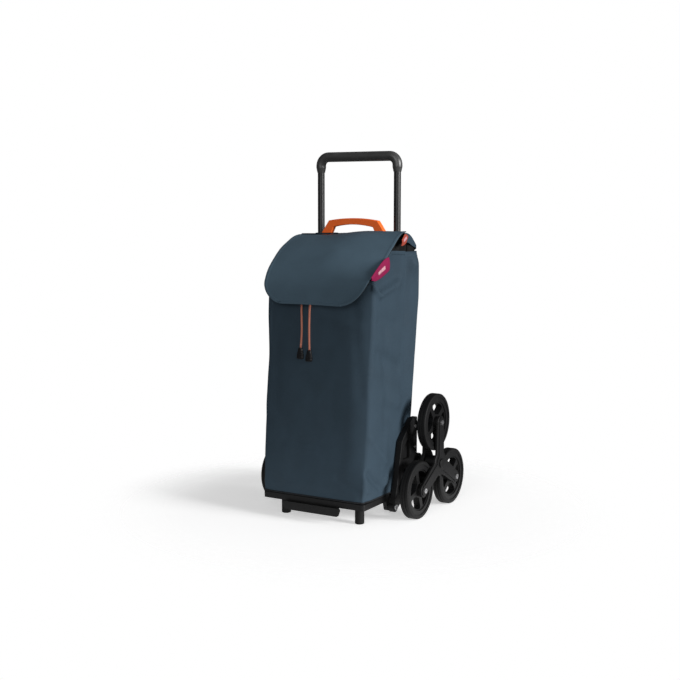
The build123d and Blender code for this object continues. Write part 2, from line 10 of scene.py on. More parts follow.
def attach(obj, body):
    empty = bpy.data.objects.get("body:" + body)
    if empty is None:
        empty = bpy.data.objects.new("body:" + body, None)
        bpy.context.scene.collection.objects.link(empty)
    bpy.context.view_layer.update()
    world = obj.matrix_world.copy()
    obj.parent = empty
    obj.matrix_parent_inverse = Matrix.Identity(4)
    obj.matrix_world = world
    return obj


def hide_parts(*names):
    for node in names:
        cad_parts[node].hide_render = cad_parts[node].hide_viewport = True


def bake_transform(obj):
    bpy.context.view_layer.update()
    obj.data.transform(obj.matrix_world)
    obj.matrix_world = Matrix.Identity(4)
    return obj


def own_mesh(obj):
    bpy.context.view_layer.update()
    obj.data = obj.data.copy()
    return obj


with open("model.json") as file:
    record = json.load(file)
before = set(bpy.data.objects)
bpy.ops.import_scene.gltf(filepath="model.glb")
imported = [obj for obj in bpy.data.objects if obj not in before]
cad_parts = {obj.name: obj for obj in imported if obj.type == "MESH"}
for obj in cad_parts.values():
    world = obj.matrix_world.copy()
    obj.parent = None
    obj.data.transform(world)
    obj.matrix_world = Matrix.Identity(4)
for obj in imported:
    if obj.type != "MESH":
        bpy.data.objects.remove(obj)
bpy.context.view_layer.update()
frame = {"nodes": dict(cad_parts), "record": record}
scene = bpy.context.scene

# Places shared with the frame, in metres
BAG_BOTTOM, BAG_FRONT, BAG_LEAN = 0.0715, -0.232, 0.087
BAG_BACK, BAG_HALF = 0.011, 0.164
RIM_BACK, RIM_MIDDLE, RIM_FRONT = 0.741, 0.745, 0.668
RIM_MIDDLE_Y, RIM_BACK_RUN = -0.065, 0.086
SLEEVE_LOW = 0.238
FLAP_HALF = 0.172
TUBE_X, TUBE_Y = 0.125, 0.025


# ---------------------------------------------------------------- camera
camera_data = bpy.data.cameras.new("camera")
camera_data.lens = 62.63
camera_data.sensor_width = 36
camera = bpy.data.objects.new("camera", camera_data)
camera.location = (1.6889, -2.931, 0.8808)
camera.rotation_euler = (math.radians(90 - 6.708), 0, math.radians(30.635))
scene.collection.objects.link(camera)
scene.camera = camera


# ---------------------------------------------------------------- node helpers for materials
class Shader:
    """A principled material built node by node."""

    def __init__(self, name, color=None, **sockets):
        self.material = bpy.data.materials.new(name)
        self.material.use_nodes = True
        self.tree = self.material.node_tree
        self.principled = self.tree.nodes["Principled BSDF"]
        if color is not None:
            self.principled.inputs["Base Color"].default_value = (*color, 1)
        for socket, value in sockets.items():
            self.principled.inputs[socket.replace("_", " ")].default_value = value
        self.coords = self.tree.nodes.new("ShaderNodeTexCoord")

    def add(self, kind, settings=None, **inputs):
        """Makes a node; inputs are values or other nodes' output sockets."""
        node = self.tree.nodes.new(kind)
        for key, value in (settings or {}).items():
            setattr(node, key, value)
        for key, value in inputs.items():
            self.set(node, key.replace("_", " "), value)
        return node

    def set(self, node, key, value):
        """Gives a socket a value or links it to an output socket."""
        socket = node.inputs[int(key)] if key.isdigit() else node.inputs[key]
        if isinstance(value, bpy.types.NodeSocket):
            self.tree.links.new(value, socket)
        else:
            socket.default_value = value

    def noise(self, scale, detail=3.0, roughness=0.55, stretch=None):
        """Noise at this scale, in repeats per metre of the row frame."""
        source = self.coords.outputs["Object"]
        if stretch:
            mapping = self.add("ShaderNodeMapping", Vector=source, Scale=stretch)
            source = mapping.outputs["Vector"]
        node = self.add("ShaderNodeTexNoise", Vector=source, Scale=scale, Detail=detail, Roughness=roughness)
        return node.outputs["Fac"]

    def ramp(self, value, *stops):
        """A colour ramp through (position, colour) stops."""
        node = self.add("ShaderNodeValToRGB", Fac=value)
        elements = node.color_ramp.elements
        while len(elements) < len(stops):
            elements.new(0.5)
        for element, (position, color) in zip(elements, stops):
            element.position = position
            element.color = (*color, 1)
        return node.outputs["Color"]

    def math(self, operation, a, b=0.0):
        """One math node on two values."""
        node = self.tree.nodes.new("ShaderNodeMath")
        node.operation = operation
        self.set(node, "0", a)
        self.set(node, "1", b)
        return node.outputs[0]

    def spread(self, value, low, high):
        """Maps 0..1 to low..high."""
        node = self.add("ShaderNodeMapRange", Value=value, **{"To_Min": low, "To_Max": high})
        return node.outputs["Result"]

    def base(self, color_output):
        """Drives the base colour."""
        self.tree.links.new(color_output, self.principled.inputs["Base Color"])

    def rough(self, value):
        """Drives the roughness."""
        self.tree.links.new(value, self.principled.inputs["Roughness"])

    def bump(self, *layers):
        """Stacks bump layers of (height output, strength, distance in metres)."""
        normal = None
        for height, strength, distance in layers:
            node = self.add("ShaderNodeBump", Height=height, Strength=strength, Distance=distance)
            if normal is not None:
                self.tree.links.new(normal, node.inputs["Normal"])
            normal = node.outputs["Normal"]
        self.tree.links.new(normal, self.principled.inputs["Normal"])


def tone(color, factor):
    """A colour made lighter or darker."""
    return tuple(min(1.0, channel * factor) for channel in color)


def woven_cloth(name, color, thread=900.0, roughness=0.60, slub=0.35):
    """Plain-woven coated cloth: two crossing thread directions, soft mottling and faint rubbing."""
    shader = Shader(name, color, Roughness=roughness)
    shader.principled.inputs["Specular IOR Level"].default_value = 0.22
    split = shader.add("ShaderNodeSeparateXYZ", Vector=shader.coords.outputs["Object"])
    x, y, z = (split.outputs[axis] for axis in "XYZ")
    around = shader.math("ADD", x, y)
    upward = shader.math("ADD", z, shader.math("MULTIPLY", y, 0.35))
    warp = shader.math("SINE", shader.math("MULTIPLY", around, thread * 2 * math.pi))
    weft = shader.math("SINE", shader.math("MULTIPLY", upward, thread * 2 * math.pi))
    weave = shader.math("MAXIMUM", warp, weft)
    slubs = shader.noise(1.0, 2.0, stretch=(60, 60, 420))
    cloudy = shader.noise(14.0, 4.0)
    fine = shader.noise(420.0, 2.0)
    shader.base(
        shader.ramp(
            shader.math("ADD", shader.math("MULTIPLY", cloudy, 0.8), shader.math("MULTIPLY", fine, 0.2)),
            (0.25, tone(color, 0.90)),
            (0.5, color),
            (0.78, tone(color, 1.10)),
        )
    )
    shader.rough(shader.spread(shader.math("ADD", cloudy, slubs), roughness - 0.10, roughness + 0.22))
    shader.bump(
        (shader.noise(9.0, 3.0), 0.18, 0.006),
        (slubs, slub * 0.4, 0.0006),
        (weave, 0.22, 0.00025),
    )
    return shader.material


def moulded_plastic(name, color, roughness=0.45, depth=0.18, mottle=0.18):
    """Grained moulded plastic with uneven gloss and slightly worn, lighter patches."""
    shader = Shader(name, color, Roughness=roughness)
    shader.principled.inputs["Specular IOR Level"].default_value = 0.24
    grains = shader.add(
        "ShaderNodeTexVoronoi", Vector=shader.coords.outputs["Object"], Scale=1100.0
    ).outputs["Distance"]
    worn = shader.noise(28.0, 5.0)
    scuffs = shader.noise(1.0, 4.0, stretch=(160, 160, 30))
    shader.base(
        shader.ramp(worn, (0.3, tone(color, 1 - mottle)), (0.55, color), (0.8, tone(color, 1 + 2 * mottle)))
    )
    uneven = shader.math("ADD", worn, shader.math("MULTIPLY", scuffs, 0.5))
    shader.rough(shader.spread(uneven, roughness - 0.12, roughness + 0.16))
    shader.bump((grains, depth, 0.0003), (worn, 0.05, 0.002))
    return shader.material


def rubber(name, color, roughness, specular=0.22):
    """Rubber or foam with dust in its pores."""
    shader = Shader(name, color, Roughness=roughness)
    shader.principled.inputs["Specular IOR Level"].default_value = specular
    dust = shader.noise(45.0, 6.0, 0.7)
    pores = shader.noise(1500.0, 2.0)
    shader.base(shader.ramp(dust, (0.35, tone(color, 0.8)), (0.6, color), (0.85, tone(color, 2.0))))
    shader.rough(shader.spread(dust, roughness - 0.1, roughness + 0.15))
    shader.bump((pores, 0.25, 0.0002), (dust, 0.08, 0.001))
    return shader.material


def metal(name, color, roughness=0.3):
    """Plated steel with fine drawing lines."""
    shader = Shader(name, color, Roughness=roughness, Metallic=1.0)
    lines = shader.noise(1.0, 3.0, stretch=(40, 900, 900))
    shader.base(shader.ramp(lines, (0.3, tone(color, 0.8)), (0.7, tone(color, 1.1))))
    shader.rough(shader.spread(lines, roughness - 0.08, roughness + 0.18))
    shader.bump((lines, 0.12, 0.0002))
    return shader.material


def powder_coat(name, color, roughness=0.38):
    """Satin powder coating with its faint orange-peel texture."""
    shader = Shader(name, color, Roughness=roughness)
    shader.principled.inputs["Coat Weight"].default_value = 0.05
    shader.principled.inputs["Coat Roughness"].default_value = 0.3
    peel = shader.noise(650.0, 2.0)
    hazy = shader.noise(20.0, 4.0)
    shader.base(shader.ramp(hazy, (0.3, tone(color, 0.85)), (0.8, tone(color, 1.35))))
    shader.rough(shader.spread(hazy, roughness - 0.08, roughness + 0.12))
    shader.bump((peel, 0.2, 0.0002))
    return shader.material


def braided(name, color, gap_shade_color):
    """Braided cord: light strands with painted shade darkening the gaps between them, laid along the mesh's
    own coordinates.
    """
    shader = Shader(name, color, Roughness=0.75)
    shader.principled.inputs["Sheen Weight"].default_value = 0.3
    split = shader.add("ShaderNodeSeparateXYZ", Vector=shader.coords.outputs["UV"])
    around = shader.math("MULTIPLY", split.outputs["X"], 8 * math.pi)
    along = shader.math("MULTIPLY", split.outputs["Y"], 2 * math.pi / 0.006)
    one = shader.math("SINE", shader.math("ADD", around, along))
    two = shader.math("SINE", shader.math("SUBTRACT", around, along))
    strands = shader.math("MAXIMUM", one, two)
    fuzz = shader.noise(900.0, 2.0)
    # The darkest stop is painted shade in the gaps between the strands.
    shader.base(
        shader.ramp(
            shader.math("ADD", shader.math("MULTIPLY", strands, 0.5), shader.math("MULTIPLY", fuzz, 0.4)),
            (0.05, gap_shade_color),
            (0.45, color),
            (0.75, tone(color, 1.25)),
        )
    )
    shader.bump((strands, 0.5, 0.0006), (fuzz, 0.3, 0.0002))
    return shader.material


SLATE = (0.0265, 0.0460, 0.0650)
# The flap is the same slate cloth as the bag, painted lighter to stand in for the light that falls on the
# flap.
FLAP_SLATE_PAINTED_LIGHTER = (0.0620, 0.1020, 0.1370)
cloth = woven_cloth("slate_cloth", SLATE)
flap_cloth_painted_lighter = woven_cloth("slate_flap_cloth", FLAP_SLATE_PAINTED_LIGHTER)
lining = woven_cloth("dark_lining", (0.014, 0.016, 0.018), thread=1200.0, roughness=0.75)
nylon = woven_cloth("black_nylon", (0.0022, 0.0022, 0.0025), thread=1500.0, roughness=0.55)
binding_cloth = woven_cloth("black_binding", (0.012, 0.013, 0.015), thread=700.0, roughness=0.7, slub=0.6)
magenta = woven_cloth("magenta_tab", (0.21, 0.006, 0.052), thread=1300.0)
orange_tab = woven_cloth("orange_tab", (0.30, 0.050, 0.030), thread=1300.0)
white_thread = woven_cloth("white_thread", (0.50, 0.26, 0.30), thread=1600.0, roughness=0.7)
stitch_thread = woven_cloth("slate_thread", (0.05, 0.085, 0.115), thread=2200.0)
black_plastic = moulded_plastic("black_plastic", (0.0032, 0.0032, 0.0035))
star_plastic = moulded_plastic("star_plastic", (0.0048, 0.0048, 0.0052), roughness=0.42)
board = moulded_plastic("dark_board", (0.03, 0.03, 0.032), roughness=0.6)
orange = moulded_plastic("orange_plastic", (1.00, 0.165, 0.028), roughness=0.42, mottle=0.05)
gloss_black = moulded_plastic("gloss_black", (0.008, 0.008, 0.009), roughness=0.28, depth=0.06)
grip = rubber("grip_foam", (0.050, 0.050, 0.050), 0.36, specular=0.7)
foot_rubber = rubber("foot_rubber", (0.0055, 0.0055, 0.0055), 0.75)
tyre_rubber = rubber("tyre_rubber", (0.0042, 0.0042, 0.0045), 0.60)
steel = metal("plated_steel", (0.60, 0.60, 0.61))
coated_tube = powder_coat("coated_tube", (0.0085, 0.0085, 0.0090))
# The second colour is painted shade for the gaps between the strands.
cord_braid = braided("cord_braid", (0.42, 0.140, 0.085), (0.07, 0.009, 0.009))

NODE_FINISHES = {
    "black_tube": coated_tube,
    "black_grip": grip,
    "black_plastic": black_plastic,
    "steel": steel,
    "foot_rubber": foot_rubber,
    "bag_cloth": cloth,
    "collar_cloth": nylon,
    "inner_board": board,
    "orange_plastic": orange,
    "magenta_cloth": magenta,
    "orange_cloth": orange_tab,
    "cord": cord_braid,
    "cord_end": gloss_black,
    "tyre": tyre_rubber,
    "rim_plastic": star_plastic,
}
slot_of = {part["node"]: part["material_slot"] for part in frame["record"]["subparts"]}
for node_name, node_object in frame["nodes"].items():
    finish = NODE_FINISHES[slot_of[node_name]]
    if node_name.startswith("star_"):
        finish = star_plastic
    node_object.data.materials.clear()
    node_object.data.materials.append(finish)


# ---------------------------------------------------------------- mesh helpers
def piece(name, vertices, faces, finishes, body, slot, replaces=()):
    """A mesh object of the model with its finishes; where body is None it is left unattached."""
    mesh = bpy.data.meshes.new(name)
    mesh.from_pydata([tuple(vertex) for vertex in vertices], [], faces)
    for finish in finishes:
        mesh.materials.append(finish)
    mesh.shade_smooth()
    made = bpy.data.objects.new(name, mesh)
    scene.collection.objects.link(made)
    if body is not None:
        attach(made, body)
    if replaces:
        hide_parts(*replaces)
    return made


def grid(across, along, place):
    """Vertices and faces of a sheet; place turns two shares from 0 to 1 into a point."""
    vertices = [place(i / across, j / along) for j in range(along + 1) for i in range(across + 1)]
    faces = []
    for j in range(along):
        for i in range(across):
            corner = j * (across + 1) + i
            faces.append((corner, corner + 1, corner + across + 2, corner + across + 1))
    return vertices, faces


def turns(count):
    """Angles evenly round a circle."""
    return [2 * math.pi * k / count for k in range(count)]


def joined(meshes):
    """Vertices and faces of several meshes as one."""
    vertices, faces = [], []
    for new_vertices, new_faces in meshes:
        faces += [tuple(k + len(vertices) for k in face) for face in new_faces]
        vertices += new_vertices
    return vertices, faces


def loft(rings, capped=True, flipped=False):
    """Vertices and faces of a skin through closed rings of as many points each."""
    count = len(rings[0])
    vertices = [point for ring in rings for point in ring]
    faces = []
    for row in range(len(rings) - 1):
        for i in range(count):
            after = (i + 1) % count
            faces.append(
                (row * count + i, row * count + after, (row + 1) * count + after, (row + 1) * count + i)
            )
    if capped:
        faces.append(tuple(reversed(range(count))))
        faces.append(tuple((len(rings) - 1) * count + i for i in range(count)))
    if flipped:
        faces = [tuple(reversed(face)) for face in faces]
    return vertices, faces


def tube(line, radius, sides, closed=False):
    """Rings of a round tube along a line of points, carried without twist."""
    rings = []
    across = None
    for i, point in enumerate(line):
        before = line[i - 1] if closed or i else point
        after = line[(i + 1) % len(line)] if closed or i < len(line) - 1 else point
        along = (after - before).normalized()
        if across is None:
            across = along.orthogonal().normalized()
        across = (across - along * across.dot(along)).normalized()
        other = along.cross(across)
        rings.append(
            [
                point + radius * (across * math.cos(turn) + other * math.sin(turn))
                for turn in turns(sides)
            ]
        )
    if closed:
        rings.append(rings[0])
    return rings


def smooth_line(points, count):
    """Evenly spaced points on a smooth line through the given ones."""
    points = [Vector(point) for point in points]
    ends = [2 * points[0] - points[1], *points, 2 * points[-1] - points[-2]]
    fine = []
    for a, b, c, d in zip(ends, ends[1:], ends[2:], ends[3:]):
        for step in range(24):
            t = step / 24
            fine.append(
                0.5
                * (2 * b + (c - a) * t + (2 * a - 5 * b + 4 * c - d) * t**2 + (3 * b - a - 3 * c + d) * t**3)
            )
    fine.append(points[-1])
    lengths = [0.0]
    for a, b in zip(fine, fine[1:]):
        lengths.append(lengths[-1] + (b - a).length)
    even = []
    k = 0
    for i in range(count):
        target = lengths[-1] * i / (count - 1)
        while k < len(lengths) - 2 and lengths[k + 1] < target:
            k += 1
        share = (target - lengths[k]) / max(lengths[k + 1] - lengths[k], 1e-9)
        even.append(fine[k].lerp(fine[k + 1], min(share, 1)))
    return even, lengths[-1]


def run_length(line, closed=False):
    """Length of a line of points."""
    after = line[1:] + line[:1] if closed else line[1:]
    return sum((b - a).length for a, b in zip(line, after))


def ease(value, low, high):
    """0 below low, 1 above high and smooth between them."""
    share = min(max((value - low) / (high - low), 0), 1)
    return share * share * (3 - 2 * share)


def bell(value, middle, width):
    """A soft bump of height 1."""
    return math.exp(-(((value - middle) / width) ** 2))


def thicken(made, thickness, offset=-1.0, inside=None, edge=None):
    """Gives a sheet its thickness; the inside and the cut edge can have slots of their own."""
    solid = made.modifiers.new("thickness", "SOLIDIFY")
    solid.thickness = thickness
    solid.offset = offset
    solid.use_even_offset = False
    solid.material_offset = inside or 0
    solid.material_offset_rim = edge or 0
    return made


STITCH_PITCH, STITCH_LENGTH, STITCH_RADIUS = 0.0062, 0.0042, 0.00055


def stitches(name, line, body, lift=(0, 0, 0)):
    """A row of short raised threads along a line; lift moves them a little off the cloth."""
    even, _ = smooth_line(line, max(2, int(run_length(line) / STITCH_PITCH)) + 1)
    threads = []
    for a, b in zip(even, even[1:]):
        along = (b - a).normalized()
        middle = (a + b) / 2 + Vector(lift)
        thread = [middle + along * STITCH_LENGTH * share for share in (-0.5, -0.42, 0, 0.42, 0.5)]
        rings = tube(thread, STITCH_RADIUS, 6)
        for share, loop in zip((0.35, 0.9, 1.0, 0.9, 0.35), rings):
            centre = sum(loop, Vector()) / len(loop)
            for k, point in enumerate(loop):
                loop[k] = centre + (point - centre) * share
        threads.append(loft(rings))
    return piece(name, *joined(threads), [stitch_thread], body, "bag_cloth")


# ---------------------------------------------------------------- drawcord tails
CORD_RADIUS, CORD_END_LENGTH = 0.003, 0.030
CORD_ROUTES = {
    "left": [
        (-0.0520, -0.1825, 0.650),
        (-0.0520, -0.1930, 0.648),
        (-0.0515, -0.1975, 0.634),
        (-0.0535, -0.1945, 0.608),
        (-0.0550, -0.1945, 0.580),
        (-0.0525, -0.1970, 0.545),
        (-0.0510, -0.1995, 0.512),
        (-0.0525, -0.2030, 0.479),
    ],
    "right": [
        (-0.0220, -0.1825, 0.650),
        (-0.0220, -0.1930, 0.648),
        (-0.0225, -0.1975, 0.634),
        (-0.0265, -0.1945, 0.606),
        (-0.0290, -0.1945, 0.582),
        (-0.0285, -0.1970, 0.548),
        (-0.0270, -0.2000, 0.510),
        (-0.0240, -0.2035, 0.474),
    ],
}


def nurbs_line(route):
    """Points read from the smooth NURBS line with the route as its control points."""
    curve = bpy.data.curves.new("route", "CURVE")
    curve.dimensions = "3D"
    curve.resolution_u = 12
    spline = curve.splines.new("NURBS")
    spline.points.add(len(route) - 1)
    for control, place in zip(spline.points, route):
        control.co = (*place, 1)
    spline.order_u = 3
    spline.use_endpoint_u = True
    holder = bpy.data.objects.new("route", curve)
    scene.collection.objects.link(holder)
    bpy.context.view_layer.update()
    read = bpy.data.meshes.new_from_object(holder.evaluated_get(bpy.context.evaluated_depsgraph_get()))
    line = [vertex.co.copy() for vertex in read.vertices]
    bpy.data.objects.remove(holder)
    bpy.data.curves.remove(curve)
    bpy.data.meshes.remove(read)
    return line


def cord_end(side, top):
    """The flared, ribbed plastic end that weights a cord."""
    rings = []
    for i in range(31):
        share = i / 30
        ribbed = ease(share, 0.12, 0.3) * (1 - ease(share, 0.8, 0.95))
        rib = 0.00045 * math.sin(share * 2 * math.pi * 5) * ribbed
        shrink = 1 - 0.16 * bell(share, 0, 0.05) - 0.14 * bell(share, 1, 0.05)
        half_x = (0.0070 + 0.0040 * ease(share, 0, 0.8)) * shrink + rib
        half_y = (0.0045 + 0.0010 * ease(share, 0, 0.8)) * shrink + rib
        ring = []
        for turn in turns(32):
            cosine, sine = math.cos(turn), math.sin(turn)
            ring.append(
                Vector(
                    (
                        top.x + half_x * math.copysign(abs(cosine) ** 0.6, cosine),
                        top.y - 0.002 * share + half_y * math.copysign(abs(sine) ** 0.6, sine),
                        top.z - 0.0004 - CORD_END_LENGTH * share,
                    )
                )
            )
        rings.append(ring)
    vertices, faces = loft(rings, flipped=True)
    return piece(
        f"cord_end_{side}_plastic", vertices, faces, [gloss_black], "frame", "cord_end", [f"cord_end_{side}"]
    )


def fold_with_base(made):
    """Gives the piece a mesh of its own."""
    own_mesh(made)


CORD_SIDES = 12
for side, route in CORD_ROUTES.items():
    line = nurbs_line(route)
    vertices, faces = loft(tube(line, CORD_RADIUS, CORD_SIDES))
    node = f"drawcord_{side}"
    braid = piece(f"{node}_braid", vertices, faces, [cord_braid], "frame", "cord", [node])
    along = [0.0]
    for a, b in zip(line, line[1:]):
        along.append(along[-1] + (b - a).length)
    coordinates = braid.data.uv_layers.new(name="around_and_along")
    for face in braid.data.polygons:
        wraps = {braid.data.loops[k].vertex_index % CORD_SIDES for k in face.loop_indices}
        wraps = wraps == {0, CORD_SIDES - 1}
        for k in face.loop_indices:
            vertex = braid.data.loops[k].vertex_index
            around = vertex % CORD_SIDES
            around = CORD_SIDES if wraps and around == 0 else around
            coordinates.data[k].uv = (around / CORD_SIDES, along[vertex // CORD_SIDES])
    fold_with_base(braid)
    weight = cord_end(side, Vector(route[-1]))
    fold_with_base(weight)


# ---------------------------------------------------------------- bag
def front_y(z):
    """The front panel leans back from the bottom."""
    return BAG_FRONT + BAG_LEAN * (z - BAG_BOTTOM)


def rim_height(y):
    """Height of the bag's mouth, which falls away towards the front."""
    slope = (y - front_y(RIM_FRONT)) / (RIM_MIDDLE_Y - front_y(RIM_FRONT))
    forward = RIM_FRONT + (RIM_MIDDLE - RIM_FRONT) * min(max(slope, 0), 1)
    return forward + (RIM_BACK - RIM_MIDDLE) * min(max((y - RIM_MIDDLE_Y) / RIM_BACK_RUN, 0), 1)


FRONT_RADIUS, BACK_RADIUS = 0.009, 0.016


def bag_outline(front):
    """Points and outward normals round the bag, from the middle of its back towards +X."""
    found = []

    def straight(start, end, normal, count):
        for i in range(count):
            found.append((Vector(start).lerp(Vector(end), i / count), Vector(normal)))

    def corner(x, y, radius, first, count):
        for i in range(count):
            turn = math.radians(first - 90 * i / count)
            normal = Vector((math.cos(turn), math.sin(turn)))
            found.append((Vector((x, y)) + radius * normal, normal))

    low, high = front + FRONT_RADIUS, BAG_BACK - BACK_RADIUS
    near, far = BAG_HALF - FRONT_RADIUS, BAG_HALF - BACK_RADIUS
    straight((0, BAG_BACK), (far, BAG_BACK), (0, 1), 16)
    corner(far, high, BACK_RADIUS, 90, 6)
    straight((BAG_HALF, high), (BAG_HALF, low), (1, 0), 34)
    corner(near, low, FRONT_RADIUS, 0, 9)
    straight((near, front), (-near, front), (0, -1), 60)
    corner(-near, low, FRONT_RADIUS, -90, 9)
    straight((-BAG_HALF, low), (-BAG_HALF, high), (-1, 0), 34)
    corner(-far, high, BACK_RADIUS, 180, 6)
    straight((-far, BAG_BACK), (0, BAG_BACK), (0, 1), 16)
    return found


# Creases of the side panels: two ends (y, z), width and depth; below zero is a valley.
SIDE_CREASES = [
    ((-0.192, 0.655), (-0.150, 0.628), 0.008, 0.0025),
    ((-0.150, 0.628), (-0.070, 0.648), 0.009, 0.0022),
    ((-0.040, 0.655), (-0.004, 0.668), 0.014, 0.0018),
    ((-0.200, 0.240), (-0.120, 0.170), 0.012, 0.0020),
    ((-0.215, 0.150), (-0.140, 0.096), 0.010, -0.0030),
    ((-0.215, 0.105), (-0.165, 0.082), 0.006, 0.0022),
    ((-0.130, 0.100), (-0.088, 0.140), 0.008, 0.0026),
    ((-0.110, 0.090), (-0.080, 0.115), 0.006, -0.0022),
    ((-0.160, 0.470), (-0.040, 0.420), 0.020, -0.0026),
    ((-0.130, 0.350), (-0.020, 0.310), 0.020, 0.0022),
    ((-0.150, 0.560), (-0.060, 0.540), 0.022, -0.0018),
    ((-0.120, 0.520), (-0.115, 0.260), 0.020, -0.0020),
]
# Under the flap the side panels fall inwards above this line of (y, z) points.
DENT_LINE = [(-0.205, 0.662), (-0.150, 0.630), (-0.070, 0.650), (0.003, 0.672), (0.080, 0.700)]
# The same for the front panel, with ends (x, z).
FRONT_CREASES = [
    ((-0.090, 0.205), (0.010, 0.196), 0.006, 0.0012),
    ((-0.060, 0.222), (0.030, 0.214), 0.006, -0.0010),
    ((0.080, 0.130), (0.150, 0.100), 0.009, -0.0016),
    ((-0.150, 0.120), (-0.100, 0.096), 0.009, -0.0014),
    ((0.020, 0.560), (0.130, 0.545), 0.014, 0.0014),
    ((0.110, 0.600), (0.140, 0.360), 0.016, -0.0018),
    ((-0.135, 0.520), (-0.125, 0.300), 0.016, -0.0012),
]


def crease_height(creases, a, b):
    """The sum of the creases at a place on a panel."""
    place = Vector((a, b))
    total = 0.0
    for start, end, width, depth in creases:
        start, end = Vector(start), Vector(end)
        run = end - start
        share = (place - start).dot(run) / run.length_squared
        nearest = start + run * min(max(share, 0), 1)
        total += depth * bell((place - nearest).length, 0, width)
    return total


def dent_start(y):
    """Height on a side panel at which it begins to fall inwards."""
    for (low_y, low_z), (high_y, high_z) in zip(DENT_LINE, DENT_LINE[1:]):
        if y <= high_y:
            return low_z + (high_z - low_z) * max((y - low_y) / (high_y - low_y), 0)
    return DENT_LINE[-1][1]


def slack(x, y, z, normal, front, high):
    """How far the cloth stands out from its flat panel, in metres."""
    across = min(max((x + BAG_HALF) / (2 * BAG_HALF), 0), 1)
    deep = min(max((y - front) / (BAG_BACK - front), 0), 1)
    high_share = (z - BAG_BOTTOM) / (high - BAG_BOTTOM)
    upright = math.sin(math.pi * min(max(high_share, 0), 1)) ** 0.6
    clear = 1 - (1 - ease(-y, 0.080, 0.120)) * (1 - ease(z, 0.270, 0.330))
    tucked = 1 - ease(y, -0.045, -0.010)
    side = abs(normal.x)
    ahead = max(-normal.y, 0)
    soft = Vector((x * 9, y * 9, z * 7))
    ripple = 0.0020 * noise.noise(soft + Vector((3, 1, 5))) + 0.0007 * noise.noise(soft * 3.1)
    side_out = 0.0055 * math.sin(math.pi * deep) ** 0.8 * upright
    if normal.x > 0:
        side_out += 3.0 * crease_height(SIDE_CREASES, y, z) + 2.0 * ripple
        dent = ease(z - dent_start(y), -0.004, 0.014) * ease(y - front, 0.002, 0.026)
        side_out -= 0.014 * dent * (1 - 0.45 * ease(z, high - 0.040, high))
    else:
        bulge = ease(z, 0.430, 0.600) * (1 - ease(z, 0.680, 0.740)) * ease(-y, 0.02, 0.10)
        side_out += ripple + 0.0075 * bulge
    front_out = 0.0065 * (1 - abs(2 * across - 1) ** 3.5) * upright
    front_out += crease_height(FRONT_CREASES, x, z) + ripple
    corner_in = 0.0045 * bell(high_share, 0, 0.035) * ease(abs(x), 0.130, BAG_HALF) * ease(-y, 0.19, 0.22)
    rest = side * side_out * clear * tucked + ahead * front_out
    return rest * ease(high_share, 0, 0.06) - corner_in


BAG_ROWS = 110
mouth_heights = [rim_height(place.y) for place, _ in bag_outline(front_y(RIM_FRONT))]


def bag_point(column, share, inset=0.0):
    """A point of the bag's outer face, with the outward normal of its flat panel."""
    high = mouth_heights[column]
    z = BAG_BOTTOM + share * (high - BAG_BOTTOM)
    front = front_y(z)
    place, normal = bag_rings(front)[column]
    out = slack(place.x, place.y, z, normal, front, high) - inset
    curved = 0.0095 * min(max((place.x - 0.105) / 0.059, 0), 1) ** 2
    curved *= (1 - ease(place.y - front, 0.004, 0.060)) * ease(z, 0.080, 0.200)
    return Vector((place.x + normal.x * out, place.y + normal.y * out + curved, z))


ring_store = {}


def bag_rings(front):
    """The bag's outline at this front, kept from one call to the next."""
    key = round(front, 6)
    if key not in ring_store:
        ring_store[key] = bag_outline(front)
    return ring_store[key]


columns = len(mouth_heights)
rows = [[bag_point(k, j / BAG_ROWS) for k in range(columns)] for j in range(BAG_ROWS + 1)]
vertices, faces = loft(rows, capped=False, flipped=True)
bag = piece("bag_shell", vertices, faces, [cloth, lining], "frame", "bag_cloth", ["bag_body"])
thicken(bag, 0.0016, inside=1)
fold_with_base(bag)
around = run_length(rows[60], closed=True)

middle_y, floor_z = (BAG_FRONT + BAG_BACK) / 2, BAG_BOTTOM + 0.0006
floor_rings = []
for share in (1.0, 0.96, 0.8, 0.55, 0.3, 0.08):
    floor_rings.append([Vector((p.x * share, middle_y + (p.y - middle_y) * share, floor_z)) for p in rows[0]])
vertices, faces = loft(floor_rings, capped=False)
vertices.append(Vector((0, middle_y, floor_z)))
last = (len(floor_rings) - 1) * columns
faces += [(last + i, last + (i + 1) % columns, len(vertices) - 1) for i in range(columns)]
bag_floor = piece("bag_floor_cloth", vertices, faces, [lining], "frame", "bag_cloth")
thicken(bag_floor, 0.0012)
fold_with_base(bag_floor)

# Piping round the bottom, a black strip of painted shade that stands in for the shadow line under the bag's
# edge, and a rolled hem round the mouth
bottom_line = [bag_point(k, 0.0) + Vector((0, 0, 0.0012)) for k in range(columns)]
vertices, faces = loft(tube(bottom_line, 0.0021, 8, closed=True), capped=False)
shade_piping = piece("bag_bottom_piping", vertices, faces, [binding_cloth], "frame", "bag_cloth")
fold_with_base(shade_piping)

hem_rows = []
for lift, out in (
    (-0.0110, 0.0002),
    (-0.0105, 0.0008),
    (-0.0040, 0.0009),
    (-0.0005, 0.0008),
    (0.0004, -0.0006),
):
    hem_row = []
    for k in range(columns):
        share = 1 + lift / (mouth_heights[k] - BAG_BOTTOM)
        hem_row.append(bag_point(k, share, inset=-out))
    hem_rows.append(hem_row)
vertices, faces = loft(hem_rows, capped=False, flipped=True)
hem = piece("bag_mouth_hem", vertices, faces, [cloth], "frame", "bag_cloth")
thicken(hem, 0.0008)
fold_with_base(hem)
hem_line = [
    bag_point(k, 1 - 0.0085 / (mouth_heights[k] - BAG_BOTTOM), inset=-0.0011) for k in [*range(columns), 0]
]
hem_stitches = stitches("bag_mouth_stitches", hem_line, "frame")
fold_with_base(hem_stitches)

